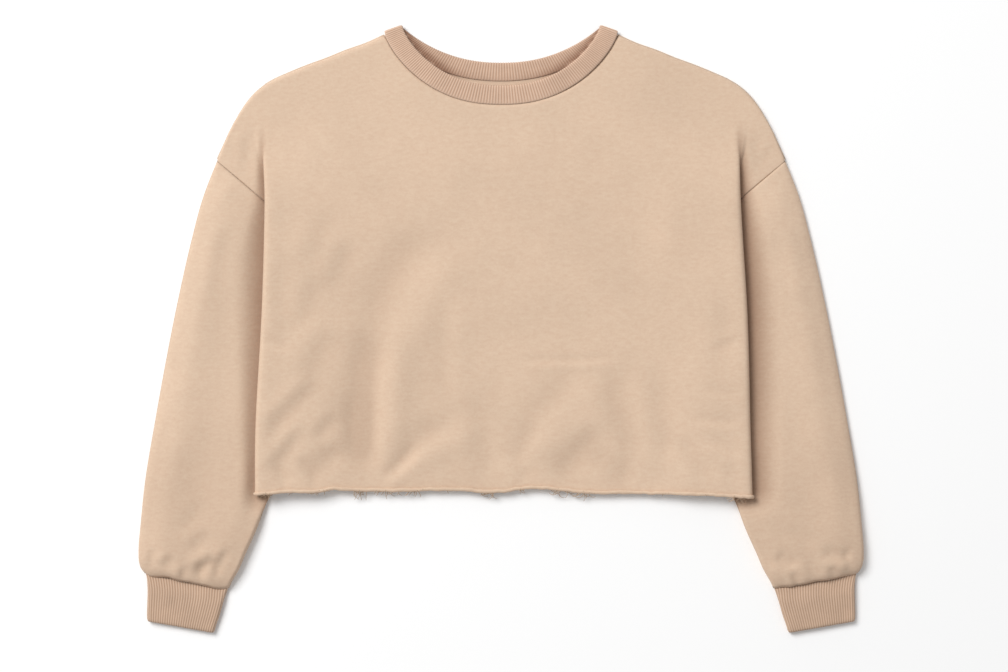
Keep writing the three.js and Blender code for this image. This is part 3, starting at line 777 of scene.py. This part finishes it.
def buildNeckband():
    samples = []
    fine = collar["samples"]

    def addRun(sign, seamCurve, freeCurve, z, up):
        for i in range(fine + 1):
            share = math.sin((i / fine - 0.5) * math.pi)
            seamX = sign * share * (body["neckHalf"] - seamGap)
            freeX = sign * share * collar["tipX"]
            # the band lies flat at the centre and rises a little toward the fold
            bend = abs(share) ** 6
            level = z - up * collar["foldSink"] * bend
            inner = level
            if up > 0:
                level += collar["shoulderRise"] * float(smooth(abs(share) ** 2))
                inner = level + collar["innerLift"] * float(smooth(abs(share) * 1.6)) * (1 - bend)
            samples.append((Vector((seamX, float(seamCurve(seamX)), level)),
                            Vector((freeX, float(freeCurve(freeX)), inner)), Vector((0, 0, up))))

    along = Vector((body["neckHalf"] - collar["tipX"], body["shoulderY"] - collar["tipY"], 0)).normalized()

    def addTurn(sign, rising):
        high = collar["frontZ"] - collar["foldSink"] + collar["shoulderRise"]
        low = collar["backZ"] + collar["foldSink"]
        middle, radius = (high + low) / 2, (high - low) / 2
        away = Vector((-along.y * sign, along.x, 0))
        for i in range(1, collar["turnSteps"]):
            angle = rising * (math.pi * i / collar["turnSteps"] - math.pi / 2)
            normal = away * math.cos(angle) + Vector((0, 0, math.sin(angle)))
            seam = Vector((sign * (body["neckHalf"] - seamGap), body["shoulderY"], middle))
            free = Vector((sign * collar["tipX"], collar["tipY"], middle))
            samples.append((seam + normal * radius, free + normal * radius, normal))

    addRun(1, frontNeck, frontBand, collar["frontZ"], 1)
    addTurn(1, -1)
    addRun(-1, backNeck, backBand, collar["backZ"], -1)
    addTurn(-1, 1)

    middles = [(a + b) / 2 for a, b, _ in samples]
    run = [0.0]
    for a, b in zip(middles, middles[1:] + middles[:1]):
        crowd = 1 + collar["tightRibs"] * min(1.0, abs(a.x) / collar["tipX"]) ** 4
        run.append(run[-1] + (b - a).length * crowd)
    length = sum((b - a).length for a, b in zip(middles, middles[1:] + middles[:1]))
    total = run[-1]
    perRib = collar["pointsPerRib"]
    count = int(round(total / collar["ribPitch"])) * perRib
    half = collar["thickness"] / 2
    # across the band: share from seam to free edge, then which face
    across = (0.0, 0.08, 0.3, 0.5, 0.7, 0.88, 0.96)
    section = [(share, 1) for share in across] + [(1.0, 0)] + [(share, -1) for share in across[::-1]]
    points, groove = [], []
    for n in range(count):
        d = total * n / count
        k = min(len(samples) - 1, int(np.searchsorted(run, d, side="right") - 1))
        t = (d - run[k]) / max(1e-9, run[k + 1] - run[k])
        a, b = samples[k], samples[(k + 1) % len(samples)]
        seam, free, normal = (a[m].lerp(b[m], t) for m in range(3))
        normal = normal.normalized()
        rib = math.cos(2 * math.pi * n / perRib)
        out = (free - seam).normalized()
        for share, face in section:
            nearSeam = 1 - min(1.0, share / 0.10)
            nearFree = max(0.0, (share - 0.86) / 0.14)
            thick = half * (1 - 0.45 * nearSeam ** 2) * math.sqrt(max(0.0, 1 - nearFree ** 2))
            depth = collar["ribDepth"] * rib * (1 - nearSeam) * (1 - 0.5 * nearFree)
            place = seam.lerp(free, share)
            place = place + normal * face * (thick + depth)
            if face == 0:
                place = place + out * 0.25 * rib
            place.z = max(0.06, place.z)
            points.append(tuple(place))
            groove.append((0.5 - 0.5 * rib) * (1 - nearSeam))
    faces = gridFaces(count, len(section), closed=True)
    last = (count - 1) * len(section)
    width = len(section)
    faces += [(last + j, last + (j + 1) % width, (j + 1) % width, j) for j in range(width)]
    piece = meshPiece("neckband_sheet", points, faces)
    # where the rib's furrows lie, for their painted shade
    storeFloat(piece, "groove", groove)
    storeNeckShade(piece)
    recalcOutside(piece)
    return piece, length


neckPiece, neckLength = buildNeckband()
print("neckband:", len(neckPiece.data.polygons), "faces, loop of", round(neckLength), "mm")


# loose threads along the raw hem

fray = {
    # where along the hem, spread to each side, number of threads, the longest
    "clumps": [(-250, 6, 12, 10), (-241, 5, 6, 8), (-217, 3, 3, 8), (-197, 7, 11, 11), (-184, 5, 5, 8),
               (-149, 8, 13, 14), (-118, 13, 16, 13), (-96, 9, 9, 10), (-58, 6, 3, 6), (-14, 8, 11, 13),
               (21, 4, 5, 9), (62, 8, 10, 18), (87, 8, 9, 15), (118, 6, 3, 7), (164, 8, 3, 6),
               (212, 6, 3, 6), (249, 7, 11, 12)],
    "radius": 0.36, "seed": 17, "halfHem": 256,
    "fuzz": 420, "fuzzLength": 2.2,          # short fibres all along the cut
    "shortest": 0.45, "startZ": (0.4, 2.4), "startY": (-0.6, 0.8), "heading": 0.9, "bend": 0.42,
    "waver": 0.18, "taper": 0.45, "droop": 0.11, "lowestZ": 1.0, "steps": 9, "fuzzSteps": 4,
}


def buildFray():
    draw = random.Random(fray["seed"])
    order = np.argsort(hemBase[:, 0])
    hemX, hemZ = hemBase[order, 0], hemBase[order, 2]
    wave = hemWave[order]
    curve = bpy.data.curves.new("hem_threads", "CURVE")
    curve.dimensions = "3D"
    curve.bevel_depth = fray["radius"] * mm
    curve.bevel_resolution = 1
    curve.use_fill_caps = True
    clumps = fray["clumps"] + [(0, fray["halfHem"], fray["fuzz"], fray["fuzzLength"])]
    for centre, spread, count, longest in clumps:
        for _ in range(count):
            x = centre + draw.uniform(-spread, spread)
            length = longest * draw.uniform(fray["shortest"], 1.0)
            pz = float(np.interp(x, hemX, hemZ)) + draw.uniform(*fray["startZ"])
            py = body["hemY"] + float(np.interp(x, hemX, wave)) + draw.uniform(*fray["startY"])
            heading = draw.uniform(-fray["heading"], fray["heading"])
            bend = draw.uniform(-fray["bend"], fray["bend"])
            steps = fray["steps"] if longest > fray["fuzzLength"] else fray["fuzzSteps"]
            spline = curve.splines.new("POLY")
            spline.points.add(steps - 1)
            for n in range(steps):
                spline.points[n].co = (x * mm, py * mm, pz * mm, 1)
                spline.points[n].radius = 1 - fray["taper"] * n / steps
                heading += bend + draw.uniform(-fray["waver"], fray["waver"])
                x += length / steps * math.sin(heading)
                py -= length / steps * math.cos(heading)
                pz = max(fray["lowestZ"], pz - fray["droop"] * length / steps * (n + 1))
    piece = bpy.data.objects.new("hem_threads", curve)
    bpy.context.collection.objects.link(piece)
    activate(piece)
    bpy.ops.object.convert(target="MESH")
    return bpy.context.view_layer.objects.active


frayPiece = buildFray()
print("hem threads:", len(frayPiece.data.polygons), "faces")


# materials

def hexColour(code):
    parts = [int(code[i:i + 2], 16) / 255 for i in (1, 3, 5)]
    linear = [c / 12.92 if c <= 0.04045 else ((c + 0.055) / 1.055) ** 2.4 for c in parts]
    return (*linear, 1.0)


def addNode(tree, kind, links=None, **settings):
    # a new node, its settings, its socket values and its incoming links
    node = tree.nodes.new(kind)
    for key, value in settings.items():
        if hasattr(node, key):
            setattr(node, key, value)
        else:
            node.inputs[key.replace("_", " ")].default_value = value
    for socket, source in (links or {}).items():
        tree.links.new(source, node.inputs[socket])
    return node


def newMaterial(name):
    material = bpy.data.materials.new(name)
    material.use_nodes = True
    material.node_tree.nodes.clear()
    return material, material.node_tree


def objectPlace(tree):
    return addNode(tree, "ShaderNodeTexCoord").outputs["Object"]


def noiseOf(tree, place, scale, detail=2.0, roughness=0.5):
    return addNode(tree, "ShaderNodeTexNoise", {"Vector": place}, Scale=scale, Detail=detail,
                   Roughness=roughness).outputs["Fac"]


def combine(tree, a, b, operation):
    return addNode(tree, "ShaderNodeMath", {0: a, 1: b}, operation=operation).outputs[0]


def rescale(tree, value, low, high, least=0.0, most=1.0):
    return addNode(tree, "ShaderNodeMapRange", {"Value": value}, From_Min=low, From_Max=high,
                   To_Min=least, To_Max=most).outputs[0]


def blendColours(tree, share, first, second):
    node = addNode(tree, "ShaderNodeMix", {"Factor": share}, data_type="RGBA")
    node.inputs[6].default_value = hexColour(first)
    node.inputs[7].default_value = hexColour(second)
    return node.outputs[2]


def brighten(tree, colour, amount):
    return addNode(tree, "ShaderNodeVectorMath", {0: colour, "Scale": amount}, operation="SCALE").outputs[0]


clothLook = {
    "shadeTint": (0.50, 0.41, 0.37),   # painted shade: where the shade value is full the colour is multiplied by this warm dark tint
    "roughness": 0.92, "sheenRoughness": 0.6, "specular": 0.25, "bumpDepth": 0.0004,
}
fleeceLook = {
    "dark": "#d6b9a0", "light": "#ddc3aa", "sheen": 0.10, "bump": 0.22,
    "wale": 1.15,         # mm between knit columns, drawn a little coarse so that they show
    "course": 0.8,        # stitches lie this much closer than the columns
}
ribLook = {"sheen": 0.08, "bump": 0.25}


def inShade(tree, colour):
    # painted shade: the cloth's colour, warmer and darker where its shade value rises
    deep = addNode(tree, "ShaderNodeAttribute", attribute_name="shade")
    darker = addNode(tree, "ShaderNodeVectorMath", {0: colour}, operation="MULTIPLY")
    darker.inputs[1].default_value = clothLook["shadeTint"]
    mixed = addNode(tree, "ShaderNodeMix", {"Factor": deep.outputs["Fac"], 6: colour, 7: darker.outputs[0]},
                    data_type="RGBA")
    return mixed.outputs[2]


def finishCloth(tree, colour, surface, look):
    bump = addNode(tree, "ShaderNodeBump", {"Height": surface}, Strength=look["bump"],
                   Distance=clothLook["bumpDepth"])
    shader = addNode(tree, "ShaderNodeBsdfPrincipled",
                     {"Base Color": inShade(tree, colour), "Normal": bump.outputs[0]},
                     Roughness=clothLook["roughness"], Sheen_Weight=look["sheen"],
                     Sheen_Roughness=clothLook["sheenRoughness"],
                     Specular_IOR_Level=clothLook["specular"])
    addNode(tree, "ShaderNodeOutputMaterial", {"Surface": shader.outputs[0]})


def brushedFleece():
    # cotton loopback jersey: a fine smooth knit face with a faint heather, dull and slightly fuzzy
    material, tree = newMaterial("brushed cotton fleece")
    place = objectPlace(tree)
    heather = noiseOf(tree, place, 420.0, 3.0, 0.7)
    streakPlace = addNode(tree, "ShaderNodeMapping", {"Vector": place}, Scale=(150, 330, 200))
    streak = noiseOf(tree, streakPlace.outputs[0], 1.0)
    spread = rescale(tree, combine(tree, heather, streak, "ADD"), 0.72, 1.28)
    fine = blendColours(tree, spread, fleeceLook["dark"], fleeceLook["light"])
    tint = brighten(tree, fine, rescale(tree, noiseOf(tree, place, 14.0), 0.35, 0.65, 0.975, 1.02))
    # knit columns run up the garment, stitches across them
    waleStep = fleeceLook["wale"] * mm
    columns = addNode(tree, "ShaderNodeTexWave", {"Vector": place}, wave_type="BANDS", bands_direction="X",
                      Scale=math.tau / 20 / waleStep, Distortion=0.6, Detail=1.0)
    stitches = addNode(tree, "ShaderNodeTexWave", {"Vector": place}, wave_type="BANDS", bands_direction="Y",
                       Scale=math.tau / 20 / (fleeceLook["course"] * waleStep), Distortion=1.2, Detail=1.0)
    knit = combine(tree, columns.outputs["Fac"], stitches.outputs["Fac"], "MULTIPLY")
    finishCloth(tree, tint, combine(tree, knit, heather, "ADD"), fleeceLook)
    return material


def cottonRib(name, ridge, furrowShade):
    # 1x1 cotton rib: raised columns with painted shade in the furrows, a little pinker than the fleece
    material, tree = newMaterial(name)
    place = objectPlace(tree)
    groove = addNode(tree, "ShaderNodeAttribute", attribute_name="groove").outputs["Fac"]
    heather = noiseOf(tree, place, 520.0, 3.0, 0.7)
    # painted shade: the furrows take the second, darker colour
    colour = blendColours(tree, rescale(tree, groove, 0.25, 1.0), ridge, furrowShade)
    patches = combine(tree, heather, noiseOf(tree, place, 60.0), "ADD")
    tint = brighten(tree, colour, rescale(tree, patches, 0.7, 1.3, 0.93, 1.06))
    finishCloth(tree, tint, heather, ribLook)
    return material


def looseCotton():
    # raw yarn pulled out of the cut edge: matt, duller than the brushed face, patchy from dark to light;
    # partly its own darker colour and partly painted shadow, so the thin threads show on the white table
    material, tree = newMaterial("loose cotton yarn")
    patches = noiseOf(tree, objectPlace(tree), 260.0)
    # the dark end is partly painted shadow of the threads
    colour = blendColours(tree, patches, "#8f7458", "#e0c8b0")
    shader = addNode(tree, "ShaderNodeBsdfPrincipled", {"Base Color": colour}, Roughness=0.95,
                     Specular_IOR_Level=0.2)
    addNode(tree, "ShaderNodeOutputMaterial", {"Surface": shader.outputs[0]})
    return material


def paint(pieces, material):
    for piece in pieces:
        piece.data.materials.clear()
        piece.data.materials.append(material)


paint([frayPiece], looseCotton())
paint([frontPiece, backPiece, *sleeves.values()], brushedFleece())
# each rib gets its ridge colour, then a darker colour that paints shade into its furrows
paint([neckPiece], cottonRib("cotton rib", "#d9baa3", "#bb977e"))
paint(cuffs.values(), cottonRib("cotton cuff rib", "#ceb19a", "#b19178"))


# the garment lies where the CAD pieces are

for piece in (frontPiece, backPiece, frayPiece, neckPiece, *sleeves.values(), *cuffs.values()):
    for vertex in piece.data.vertices:
        vertex.co.x += widthCentre
        vertex.co.y += lengthShift * mm
    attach(piece, "root")
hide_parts("front_panel")
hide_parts("back_panel")
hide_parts("neck_rib")
for side, name in ((-1, "left"), (1, "right")):
    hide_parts("sleeve_" + name)
    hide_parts("cuff_" + name)


# white table, soft light from above the neck, camera straight overhead

stage = {
    "floorSize": 16.0, "floorDrop": 0.0004,
    "lens": 85.0, "sensor": 36.0, "frameWidth": 1.0564, "aimX": 0.0030, "aimY": -0.0060,
    "clothTop": 0.006,      # the frame's width is measured at this height
    "keyPlace": (-3.2, 3.0, 5.0), "keySize": 3.4, "keyPower": 375, "skyStrength": 0.43,
}
bpy.ops.object.select_all(action="DESELECT")
bpy.ops.mesh.primitive_plane_add(size=stage["floorSize"], location=(0, 0, -stage["floorDrop"]))
floor = bpy.context.object
floor.name = "table_top"
floorMaterial, floorTree = newMaterial("matt white table")
floorShader = addNode(floorTree, "ShaderNodeBsdfPrincipled", Roughness=0.9, Specular_IOR_Level=0.1,
                      Base_Color=(1.0, 1.0, 1.0, 1.0))
addNode(floorTree, "ShaderNodeOutputMaterial", {"Surface": floorShader.outputs[0]})
floor.data.materials.append(floorMaterial)

bpy.ops.object.light_add(type="AREA", location=stage["keyPlace"])
keyLight = bpy.context.object
keyLight.name = "key"
keyLight.data.shape = "SQUARE"
keyLight.data.size = stage["keySize"]
keyLight.data.energy = stage["keyPower"]
keyLight.rotation_euler = (-Vector(stage["keyPlace"])).to_track_quat("-Z", "Y").to_euler()
world = bpy.data.worlds.new("studio")
bpy.context.scene.world = world
world.use_nodes = True
world.node_tree.nodes["Background"].inputs["Color"].default_value = (1, 1, 1, 1)
world.node_tree.nodes["Background"].inputs["Strength"].default_value = stage["skyStrength"]

distance = stage["frameWidth"] * stage["lens"] / stage["sensor"]
cameraPlace = (stage["aimX"], stage["aimY"] + lengthShift * mm, distance + stage["clothTop"])
bpy.ops.object.camera_add(location=cameraPlace, rotation=(0, 0, 0))
camera = bpy.context.object
camera.name = "overhead camera"
camera.data.lens = stage["lens"]
camera.data.sensor_width = stage["sensor"]
bpy.context.scene.camera = camera
bpy.context.scene.view_settings.view_transform = "Standard"   # plain studio colours
print("stage set, camera", round(distance, 3), "m up")
